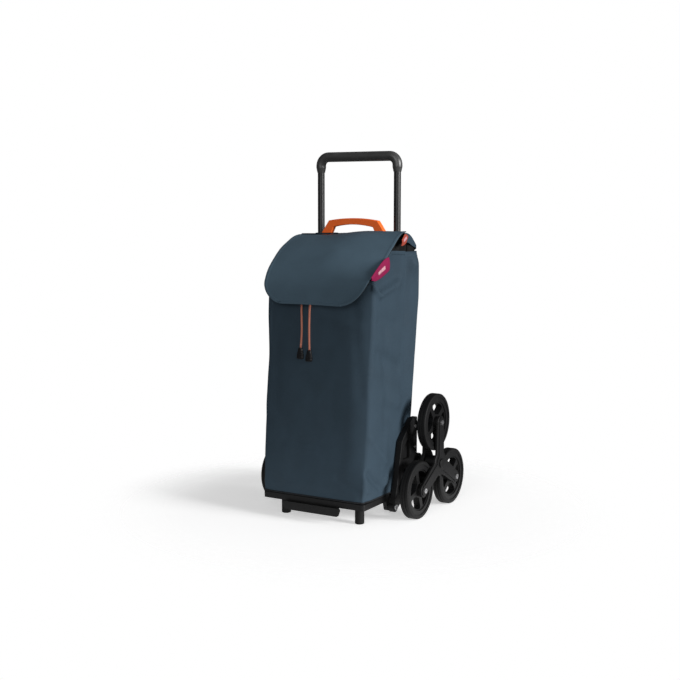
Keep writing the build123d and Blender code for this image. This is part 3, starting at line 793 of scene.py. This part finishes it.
# ---------------------------------------------------------------- eyelets
EYELET_PROFILE = (
    (0.0034, -0.0005),
    (0.0036, 0.0010),
    (0.0048, 0.0019),
    (0.0062, 0.0014),
    (0.0070, 0.0),
    (0.0070, -0.0008),
)
eyelet_rings = []
lean = Vector((0, -1, BAG_LEAN)).normalized()
sideways = Vector((1, 0, 0))
up = sideways.cross(lean)
front_columns = [k for k in range(columns) if bag_point(k, 1.0).y < -0.16]
for route in CORD_ROUTES.values():
    eyelet_x, _, eyelet_z = route[0]
    column = min(front_columns, key=lambda k: abs(rows[-1][k].x - eyelet_x))
    middle = bag_point(column, (eyelet_z - BAG_BOTTOM) / (mouth_heights[column] - BAG_BOTTOM))
    middle.x = eyelet_x
    rings = []
    for radius, lift in EYELET_PROFILE:
        centre = middle + lean * lift
        rings.append([centre + radius * (sideways * math.cos(t) + up * math.sin(t)) for t in turns(36)])
    eyelet_rings.append(loft(rings, capped=False))
eyelets = piece("cord_eyelet_rings", *joined(eyelet_rings), [steel], "frame", "steel", ["cord_eyelets"])
fold_with_base(eyelets)


# ---------------------------------------------------------------- sleeve behind the bag
SLEEVE_HALF, SLEEVE_LOW_HALF = 0.1755, 0.1664
SLEEVE_TOP = 0.7405


def sleeve_plan(share_up, count):
    """The sleeve's outline at a height, from its right-hand front edge round the back."""
    z = SLEEVE_LOW + (SLEEVE_TOP - SLEEVE_LOW) * share_up
    spread = min((z - SLEEVE_LOW) / 0.372, 1)
    pinch = ease(z, 0.700, SLEEVE_TOP)
    half = SLEEVE_LOW_HALF + (SLEEVE_HALF - SLEEVE_LOW_HALF) * spread - 0.0035 * pinch
    back = 0.044 + 0.030 * spread - 0.007 * pinch
    right = [
        (BAG_HALF - 0.0006, -0.012),
        (BAG_HALF + 0.0002, 0.000),
        (half - 0.0022, 0.020),
        (half, back - 0.024),
        (half - 0.0020, back - 0.009),
        (half - 0.0100, back - 0.0014),
        (half - 0.0260, back),
        (half * 0.55, back + 0.0005),
        (0.02, back + 0.001),
    ]
    left = [(-x, y) for x, y in reversed(right)]
    return smooth_line([(x, y, 0) for x, y in right + left], count)


SLEEVE_COLUMNS, SLEEVE_ROWS = 150, 60
plans = [sleeve_plan(j / SLEEVE_ROWS, SLEEVE_COLUMNS + 1) for j in range(SLEEVE_ROWS + 1)]


def sleeve_point(across, up):
    """A point of the sleeve, with gentle folds between the tubes."""
    base = plans[round(up * SLEEVE_ROWS)][0][round(across * SLEEVE_COLUMNS)]
    behind = ease(base.y, 0.026, 0.038) * (1 - ease(abs(base.x), 0.155, 0.166))
    top = SLEEVE_TOP + 0.009 * behind * (1 - ease(abs(base.x), 0.138, 0.162))
    z = SLEEVE_LOW + (top - SLEEVE_LOW) * up
    free = 1 - 0.6 * ease(up, 0.85, 1.0)
    fold = 0.0026 * math.sin(abs(base.x) * 70 + 2 * up) * behind * free * (1 - bell(abs(base.x), 0.125, 0.03))
    ripple = 0.0016 * noise.noise(Vector((base.x * 11, base.y * 11 + 4, z * 8)))
    dent = -0.0110 * bell(z, 0.706, 0.024) * bell(base.y, 0.030, 0.018) * (1 - behind)
    flank = ease(base.y, 0.002, 0.020) * ease(z, 0.262, 0.300)
    sideways = (ripple + dent) * (1 - behind) * flank
    return Vector((base.x + math.copysign(sideways, base.x), base.y + (fold + ripple) * behind, z))


vertices, faces = grid(SLEEVE_COLUMNS, SLEEVE_ROWS, sleeve_point)
sleeve = piece("rear_sleeve", vertices, faces, [cloth, lining], "frame", "bag_cloth", ["bag_sleeve"])
thicken(sleeve, 0.0012, inside=1)
for name, up in (("sleeve_lower", 0.018), ("sleeve_upper", 0.975)):
    j = up * SLEEVE_ROWS
    line = []
    for i in range(0, SLEEVE_COLUMNS + 1, 2):
        low = sleeve_point(i / SLEEVE_COLUMNS, int(j) / SLEEVE_ROWS)
        high = sleeve_point(i / SLEEVE_COLUMNS, min(int(j) + 1, SLEEVE_ROWS) / SLEEVE_ROWS)
        spot = low.lerp(high, j - int(j))
        outward = Vector((spot.x, max(spot.y, 0) * 3, 0)).normalized()
        line.append(spot + outward * 0.0004)
    stitches(f"{name}_stitches", line, "frame")

# ---------------------------------------------------------------- top panel, leg holes and handle slots
LEG_HOLE = 0.0125
SLOT_X, SLOT_HALF, SLOT_DEPTH = 0.086, 0.028, 0.009
PANEL_HALF, PANEL_FOLD = 0.1715, 0.007
PANEL_PROFILE = [
    (-0.0140, 0.7880),
    (0.0050, 0.7870),
    (0.0200, 0.7835),
    (0.0360, 0.7750),
    (0.0520, 0.7635),
    (0.0640, 0.7545),
    (0.0715, 0.7505),
]
panel_line, PANEL_DEEP = smooth_line([(0, y, z) for y, z in PANEL_PROFILE], 200)


def top_height(y):
    """Height of the top panel's middle at this depth."""
    return min(panel_line, key=lambda point: abs(point.y - y)).z


def top_point(x, y):
    """The panel falls to the back; beyond its folds x runs down its side drops."""
    bend = PANEL_FOLD * math.pi / 2
    flat_half = PANEL_HALF - PANEL_FOLD
    beyond = max(abs(x) - flat_half, 0)
    turn = min(beyond / PANEL_FOLD, math.pi / 2)
    out = min(abs(x), flat_half) + PANEL_FOLD * math.sin(turn) - 0.002 * ease(beyond, bend, bend + 0.022)
    out -= 0.016 * ease(abs(x), 0.100, PANEL_HALF) * ease(y, 0.050, 0.0715) ** 1.5
    down = PANEL_FOLD * (1 - math.cos(turn)) + max(beyond - bend, 0)
    ripple = 0.0010 * noise.noise(Vector((x * 14, y * 14, 9)))
    tilt = 0.0055 * ease(x, -0.09, 0.06) * (1 - ease(y, 0.010, 0.060))
    return Vector((math.copysign(out, x), y, top_height(y) + tilt - down + ripple))


def side_drop(y):
    """How far the panel hangs down at its sides."""
    return 0.004 + 0.016 * (1 - ease(y, 0.022, 0.066))


def spaced(stops, step):
    """Grid lines through these stops, about one step apart."""
    lines = [stops[0]]
    for a, b in zip(stops, stops[1:]):
        count = max(1, round((b - a) / step))
        lines += [a + (b - a) * i / count for i in range(1, count + 1)]
    return lines


panel_flat = PANEL_HALF - PANEL_FOLD + PANEL_FOLD * math.pi / 2
slot_near, slot_far = SLOT_X - SLOT_HALF, SLOT_X + SLOT_HALF
across_lines = spaced([-panel_flat, -slot_far, -slot_near, slot_near, slot_far, panel_flat], 0.0025)
drop_lines = [panel_flat + share / 8 for share in range(1, 9)]
across_lines = [-line for line in reversed(drop_lines)] + across_lines + drop_lines
deep_lines = spaced([-0.014, -SLOT_DEPTH, SLOT_DEPTH, 0.0715], 0.0025)


def panel_point(x, y):
    """The share of the side drop that lies beyond the fold is scaled to its depth here."""
    if abs(x) <= panel_flat:
        return top_point(x, y)
    return top_point(math.copysign(panel_flat + (abs(x) - panel_flat) * side_drop(y), x), y)


vertices = [panel_point(x, y) for y in deep_lines for x in across_lines]
wide = len(across_lines)
faces = []
for j, (y, next_y) in enumerate(zip(deep_lines, deep_lines[1:])):
    for i, (x, next_x) in enumerate(zip(across_lines, across_lines[1:])):
        middle_x, middle_y = (x + next_x) / 2, (y + next_y) / 2
        in_slot = abs(abs(middle_x) - SLOT_X) < SLOT_HALF and abs(middle_y) < SLOT_DEPTH
        in_hole = math.hypot(abs(middle_x) - TUBE_X, middle_y - TUBE_Y) < LEG_HOLE
        if in_slot or in_hole:
            continue
        corner = j * wide + i
        faces.append((corner, corner + 1, corner + wide + 1, corner + wide))
        wide_here = (next_x - x) * (side_drop(middle_y) if abs(middle_x) > panel_flat else 1)
top = piece("top_panel_cloth", vertices, faces, [cloth, lining], "frame", "bag_cloth", ["top_panel"])
thicken(top, 0.0018, inside=1)

GROMMET_PROFILE = (
    (0.0110, -0.0022),
    (0.0108, 0.0012),
    (0.0115, 0.0026),
    (0.0140, 0.0032),
    (0.0168, 0.0026),
    (0.0182, 0.0008),
    (0.0182, -0.0022),
)
grommets, bindings = [], []
for side in (-1, 1):
    middle = Vector((side * TUBE_X, TUBE_Y, 0))
    rings = []
    for radius, lift in GROMMET_PROFILE:
        loop = []
        for turn in turns(40):
            x, y = middle.x + radius * math.cos(turn), middle.y + radius * math.sin(turn)
            loop.append(top_point(x, y) + Vector((0, 0, lift)))
        rings.append(loop)
    grommets.append(loft(rings, capped=False))
    outline = []
    for turn in turns(64):
        cosine, sine = math.cos(turn), math.sin(turn)
        x = side * SLOT_X + (SLOT_HALF + 0.0012) * math.copysign(abs(cosine) ** 0.25, cosine)
        y = (SLOT_DEPTH + 0.0010) * math.copysign(abs(sine) ** 0.25, sine)
        outline.append(top_point(x, y) + Vector((0, 0, 0.0006)))
    bindings.append(loft(tube(outline, 0.0016, 8, closed=True), capped=False))
piece("leg_grommets", *joined(grommets), [black_plastic], "frame", "black_plastic")
piece("slot_binding", *joined(bindings), [binding_cloth], "frame", "bag_cloth")

panel_seam = [top_point(-0.160 + 0.320 * i / 60, 0.0655) for i in range(61)]
stitches("panel_rear_stitches", panel_seam, "frame", lift=(0, 0.0002, 0.0004))

# ---------------------------------------------------------------- flap
FLAP_PROFILE = [
    (-0.0105, 0.7890),
    (-0.0300, 0.7880),
    (-0.0665, 0.7800),
    (-0.1120, 0.7575),
    (-0.1510, 0.7285),
    (-0.1840, 0.6935),
    (-0.2025, 0.6610),
    (-0.2085, 0.6330),
    (-0.2090, 0.5990),
]
CORNER_LEFT, CORNER_RIGHT = 0.062, 0.104
FLAP_COLUMNS, FLAP_ROWS = 110, 96
profile, FLAP_LENGTH = smooth_line([(0, y, z) for y, z in FLAP_PROFILE], 400)


def flap_half(along, corner):
    """Half the flap's width at this distance from the ridge, on the side with this corner radius."""
    into = along - (FLAP_LENGTH - corner)
    if into <= 0:
        return FLAP_HALF
    return FLAP_HALF - corner + math.sqrt(max(corner**2 - into**2, 0))


def on_flap(x, along):
    """A point of the flap's upper face; its right-hand side droops and its corner there stands forward."""
    share = min(max(along / FLAP_LENGTH, 0), 1) * 399
    lower = int(min(share, 398))
    base = profile[lower].lerp(profile[lower + 1], share - lower)
    right = max(x, 0) / FLAP_HALF
    left = max(-x, 0) / FLAP_HALF
    fall = 0.019 * right**1.8 * ease(along, 0.0, 0.080) * (1 - ease(along, 0.165, 0.240))
    fall += 0.005 * left**3 * ease(along, 0.02, 0.09) * (1 - ease(along, 0.15, 0.22))
    back = right**1.8 * (0.006 * bell(along, 0.130, 0.050) - 0.014 * ease(along, 0.180, 0.235))
    ridge = (-0.0045 + 0.0125 * ease(x, -0.09, 0.06)) * (1 - ease(along, 0.030, 0.130))
    wave = 0.0014 * noise.noise(Vector((x * 8, along * 9, 2.5))) * ease(along, 0.01, 0.05)
    lift = 0.0016 * math.sin(x * 19 + 0.6) * ease(along, 0.16, 0.24)
    return Vector((x, base.y + back - lift * 0.5 - wave, base.z - fall + ridge + wave))


def flap_point(across, along_share):
    """Two shares to a point; the columns crowd together round the front corners."""
    along = FLAP_LENGTH * along_share
    left, right = flap_half(along, CORNER_LEFT), flap_half(along, CORNER_RIGHT)
    return on_flap(-left + across * (left + right), along)


def flap_share(share):
    """Rows are closer together at the front edge, where the corners turn."""
    return 1 - (1 - share) ** 1.35


vertices, faces = grid(FLAP_COLUMNS, FLAP_ROWS, lambda a, b: flap_point(a, flap_share(b)))
faces = [tuple(reversed(face)) for face in faces]
# The flap sheet takes the slate cloth painted lighter, as painted light.
flap_sheet = piece("flap_cloth_painted_lighter", vertices, faces, [flap_cloth_painted_lighter, lining], None, "bag_cloth", ["flap"])
thicken(flap_sheet, 0.0024, inside=1, edge=1)
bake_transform(flap_sheet)

# A folded hem along the sides and front, raised by its second layer, and its row of stitches
EDGE_STEPS = 260


def flap_edge(inset):
    """Round the flap's free edge from the ridge on the left to the ridge on the right."""
    outline = []
    for side, corner in ((-1, CORNER_LEFT), (1, CORNER_RIGHT)):
        radius = corner - inset
        straight_run = FLAP_LENGTH - corner
        half = FLAP_HALF - inset
        run = [(side * half, straight_run * i / 40) for i in range(40)]
        for i in range(41):
            turn = math.pi / 2 * i / 40
            x = side * (half - radius + radius * math.cos(turn))
            run.append((x, straight_run + radius * math.sin(turn)))
        outline += run if side < 0 else list(reversed(run))
    return smooth_line([(x, along, 0) for x, along in outline], EDGE_STEPS + 1)[0]


def flap_out(x, along):
    """The upper face's normal on the flap."""
    a = on_flap(x, min(along + 0.003, FLAP_LENGTH)) - on_flap(x, max(along - 0.003, 0))
    b = on_flap(x + 0.003, along) - on_flap(x - 0.003, along)
    return b.cross(a).normalized() * -1


HEM_LIFTS = (
    (0.0007, 0.0000),
    (0.0010, 0.0002),
    (0.0013, 0.0003),
    (0.0086, 0.0003),
    (0.0090, 0.0002),
    (0.0093, 0.0000),
)


def lifted_edge(inset, lift):
    """The line this far inside the flap's edge, lifted off its upper face."""
    return [on_flap(x, along) + flap_out(x, along) * lift for x, along, _ in flap_edge(inset)]


hem_rows = [lifted_edge(inset, lift) for inset, lift in HEM_LIFTS]
last = len(hem_rows) - 1
vertices, faces = grid(EDGE_STEPS, last, lambda a, b: hem_rows[round(b * last)][round(a * EDGE_STEPS)])
# The hem takes the same painted-lighter flap cloth.
flap_hem = piece("flap_hem", vertices, faces, [flap_cloth_painted_lighter], None, "bag_cloth")
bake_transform(flap_hem)
flap_stitches = stitches("flap_stitches", lifted_edge(0.0072, 0.0002), None)
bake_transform(flap_stitches)


# ---------------------------------------------------------------- drawstring collar and black sheets of painted shade at the sides
def flap_under(x, y):
    """Height of the flap or top panel above a place, at rest."""
    if y > -0.012:
        return top_height(y)
    low, high = 0.0, FLAP_LENGTH
    for _ in range(24):
        middle = (low + high) / 2
        if on_flap(x, middle).y > y:
            low = middle
        else:
            high = middle
    return on_flap(x, low).z


COLLAR_ROWS, COLLAR_DEEP = 26, 0.062
collar_rings = []
for j in range(COLLAR_ROWS + 1):
    share = j / COLLAR_ROWS
    collar_ring = []
    for k, (place, normal) in enumerate(bag_rings(front_y(RIM_FRONT))):
        y = min(place.y, -0.016)
        high = rim_height(y)
        bottom = high - 0.030
        top_z = min(high + 0.012, flap_under(place.x, y) - 0.006)
        z = bottom + (top_z - bottom) * min(share / 0.75, 1)
        gather = math.sin(k * 2 * math.pi / 9.3 + 1.3 * math.sin(k * 0.37)) * 0.0016 * ease(share, 0.35, 0.9)
        drawn = 0.0075 + 0.004 * share + 0.016 * ease(share, 0.70, 1.0) + gather
        if normal.y < -0.5:
            drawn -= 0.0015
        fall = 0.004 * ease(share, 0.75, 1.0)
        wall = bag_point(k, min((z - BAG_BOTTOM) / (mouth_heights[k] - BAG_BOTTOM), 1.0))
        wall.y = min(wall.y, -0.016)
        collar_ring.append(Vector((wall.x - normal.x * drawn, wall.y - normal.y * drawn, z - fall)))
    collar_rings.append(collar_ring)
vertices, faces = loft(collar_rings, capped=False, flipped=True)
collar = piece("gathered_collar", vertices, faces, [nylon], "frame", "collar_cloth", ["drawstring_collar"])
thicken(collar, 0.0006)
fold_with_base(collar)
ring_length = run_length(collar_rings[COLLAR_ROWS // 2], closed=True)

# Black cloth, a sheet of painted shade standing in for the shade in the gaps, closes the sides under the
# flap's rear and the top panel and turns in behind the bag's corners.
SHADE_SHEET_PLAN = [
    (0.1455, -0.110),
    (0.1455, -0.060),
    (0.1465, -0.006),
    (0.1530, 0.014),
    (0.1635, 0.026),
    (0.1660, 0.040),
    (0.1650, 0.053),
    (0.1590, 0.0615),
    (0.1450, 0.0640),
    (0.1200, 0.0645),
]
SHADE_SHEET_STEPS, SHADE_SHEET_DEEP = 90, 0.050
shade_sheet_plan, SHADE_SHEET_LENGTH = smooth_line([(x, y, 0) for x, y in SHADE_SHEET_PLAN], SHADE_SHEET_STEPS + 1)


def shade_sheet_point(side, across, up):
    """A point of the black sheet of painted shade on this side, at these shares of its plan and height."""
    place = shade_sheet_plan[round(across * SHADE_SHEET_STEPS)]
    low = min(rim_height(min(place.y, BAG_BACK)), RIM_BACK) - 0.026
    high = flap_under(side * 0.160, place.y) - 0.0055 - 0.006 * (1 - ease(across, 0, 0.35))
    behind = ease(place.y, 0.000, 0.022)
    flare = (0.0105 * up + 0.0022 * math.sin(across * 60 + 2 * up) * up * (1 - up) * 2) * (1 - behind)
    return Vector((side * (place.x + flare), place.y, low + (max(high, low + 0.004) - low) * up))


for name, first, last in (("side_shade_sheet", 0, 56), ("rear_shade_sheet", 54, 90)):
    steps = last - first
    for side, side_name in ((-1, "left"), (1, "right")):
        vertices, faces = grid(
            steps, 14, lambda a, b: shade_sheet_point(side, (first + steps * a) / SHADE_SHEET_STEPS, b)
        )
        shade_sheet = piece(f"{name}_{side_name}", vertices, faces, [nylon], "frame", "collar_cloth")
        thicken(shade_sheet, 0.0006, offset=0.0)
        if name == "side_shade_sheet":
            fold_with_base(shade_sheet)

# ---------------------------------------------------------------- cloth tabs
RIBBON_STEPS = 30


def ribbon(name, upper, lower, x, finish, slot, body, replaces, bulge=0.0016):
    """A folded ribbon between an upper and a lower line of (y, z) points, standing off the cloth."""
    top_line, top_length = smooth_line([(0, *point) for point in upper], RIBBON_STEPS + 1)
    low_line, low_length = smooth_line([(0, *point) for point in lower], RIBBON_STEPS + 1)

    def place(across, down):
        k = round(across * RIBBON_STEPS)
        spot = top_line[k].lerp(low_line[k], down)
        out = bulge * math.sin(math.pi * down) + 0.0006 * math.sin(across * 7 + 4 * down)
        return Vector((x + out, spot.y, spot.z))

    made = piece(name, *grid(RIBBON_STEPS, 10, place), [finish], body, slot, replaces)
    thicken(made, 0.0016, offset=0.0)
    return place


edge_place = ribbon(
    "edge_tab_ribbon",
    [(-0.2130, 0.6800), (-0.1831, 0.7005), (-0.1384, 0.7245), (-0.1160, 0.7300)],
    [(-0.2110, 0.6725), (-0.1830, 0.6700), (-0.1240, 0.6885), (-0.1095, 0.6960)],
    0.1742,
    magenta,
    "magenta_cloth",
    "flap",
    ["edge_tab"],
)
ridge_place = ribbon(
    "ridge_tab_ribbon",
    [(-0.0380, 0.7745), (-0.0232, 0.7870), (-0.0143, 0.7900), (-0.0060, 0.7860)],
    [(-0.0406, 0.7580), (-0.0300, 0.7580), (-0.0139, 0.7650), (-0.0020, 0.7780)],
    0.1728,
    orange_tab,
    "orange_cloth",
    "frame",
    ["ridge_tab"],
)
for name, place, span, drop, body, slot in (
    ("edge_tab_print", edge_place, (0.36, 0.74), (0.36, 0.62), "flap", "magenta_cloth"),
    ("ridge_tab_print", ridge_place, (0.25, 0.75), (0.30, 0.62), "frame", "orange_cloth"),
):

    def print_point(a, b, place=place, span=span, drop=drop):
        """A point of the plain bar that stands just off this tab."""
        across = span[0] + (span[1] - span[0]) * a
        down = drop[0] + (drop[1] - drop[0]) * b
        return place(round(across * RIBBON_STEPS) / RIBBON_STEPS, down) + Vector((0.0011, 0, 0))

    patch = piece(name, *grid(12, 3, print_point), [white_thread], body, slot)
    thicken(patch, 0.0004, offset=0.0)

# ---------------------------------------------------------------- edges of the moulded parts
SOFT_EDGES = (
    "base_platform",
    "toe_plate",
    "rear_shelf",
    "axle_housing",
    "side_bracket",
    "star_inner",
    "star_outer",
    "foot_cap",
    "axle_cap",
    "upper_crossbar",
)
for node_name, node_object in frame["nodes"].items():
    if node_name.startswith(SOFT_EDGES):
        bevel = node_object.modifiers.new("worn_edges", "BEVEL")
        bevel.width = 0.0008
        bevel.segments = 2
        bevel.limit_method = "ANGLE"
        bevel.angle_limit = math.radians(40)
        bevel.use_clamp_overlap = True

# ---------------------------------------------------------------- studio
floor_mesh = bpy.data.meshes.new("floor")
floor_mesh.from_pydata([(-3, -3, 0), (3, -3, 0), (3, 3, 0), (-3, 3, 0)], [], [(0, 1, 2, 3)])
floor = bpy.data.objects.new("floor", floor_mesh)
scene.collection.objects.link(floor)
paper = Shader("floor_paper", (0.90, 0.90, 0.90), Roughness=0.8)
paper.principled.inputs["Specular IOR Level"].default_value = 0.1
paper.principled.inputs["Emission Color"].default_value = (1, 1, 1, 1)
paper.principled.inputs["Emission Strength"].default_value = 0.47
distance = paper.add("ShaderNodeVectorMath", {"operation": "LENGTH"})
paper.set(distance, "0", paper.coords.outputs["Object"])
away = paper.add(
    "ShaderNodeMapRange",
    {"interpolation_type": "SMOOTHSTEP"},
    Value=distance.outputs["Value"],
    **{"From_Min": 0.42, "From_Max": 0.80},
)
clear_paper = paper.add("ShaderNodeBsdfTransparent")
mixed = paper.add("ShaderNodeMixShader", Fac=away.outputs["Result"])
paper.set(mixed, "1", paper.principled.outputs["BSDF"])
paper.set(mixed, "2", clear_paper.outputs["BSDF"])
paper.tree.links.new(mixed.outputs["Shader"], paper.tree.nodes["Material Output"].inputs["Surface"])
floor_mesh.materials.append(paper.material)

world = bpy.data.worlds.new("studio")
scene.world = world
world.use_nodes = True
background = world.node_tree.nodes["Background"]
light_path = world.node_tree.nodes.new("ShaderNodeLightPath")
strength = world.node_tree.nodes.new("ShaderNodeMapRange")
strength.inputs["To Min"].default_value = 0.09
strength.inputs["To Max"].default_value = 1.0
world.node_tree.links.new(light_path.outputs["Is Camera Ray"], strength.inputs["Value"])
world.node_tree.links.new(strength.outputs["Result"], background.inputs["Strength"])
background.inputs["Color"].default_value = (1, 1, 1, 1)


def sun(name, direction, energy, spread_degrees):
    """A soft, even light from this direction."""
    data = bpy.data.lights.new(name, "SUN")
    data.energy = energy
    data.angle = math.radians(spread_degrees)
    lamp = bpy.data.objects.new(name, data)
    lamp.rotation_euler = Vector(direction).to_track_quat("Z", "Y").to_euler()
    scene.collection.objects.link(lamp)


sun("key", (0.97, 0.00, 0.24), 4.15, 22)
sun("fill", (0.20, -0.92, 0.33), 1.00, 45)
sun("back", (0.62, 0.15, 0.77), 0.25, 60)
scene.view_settings.view_transform = "Standard"
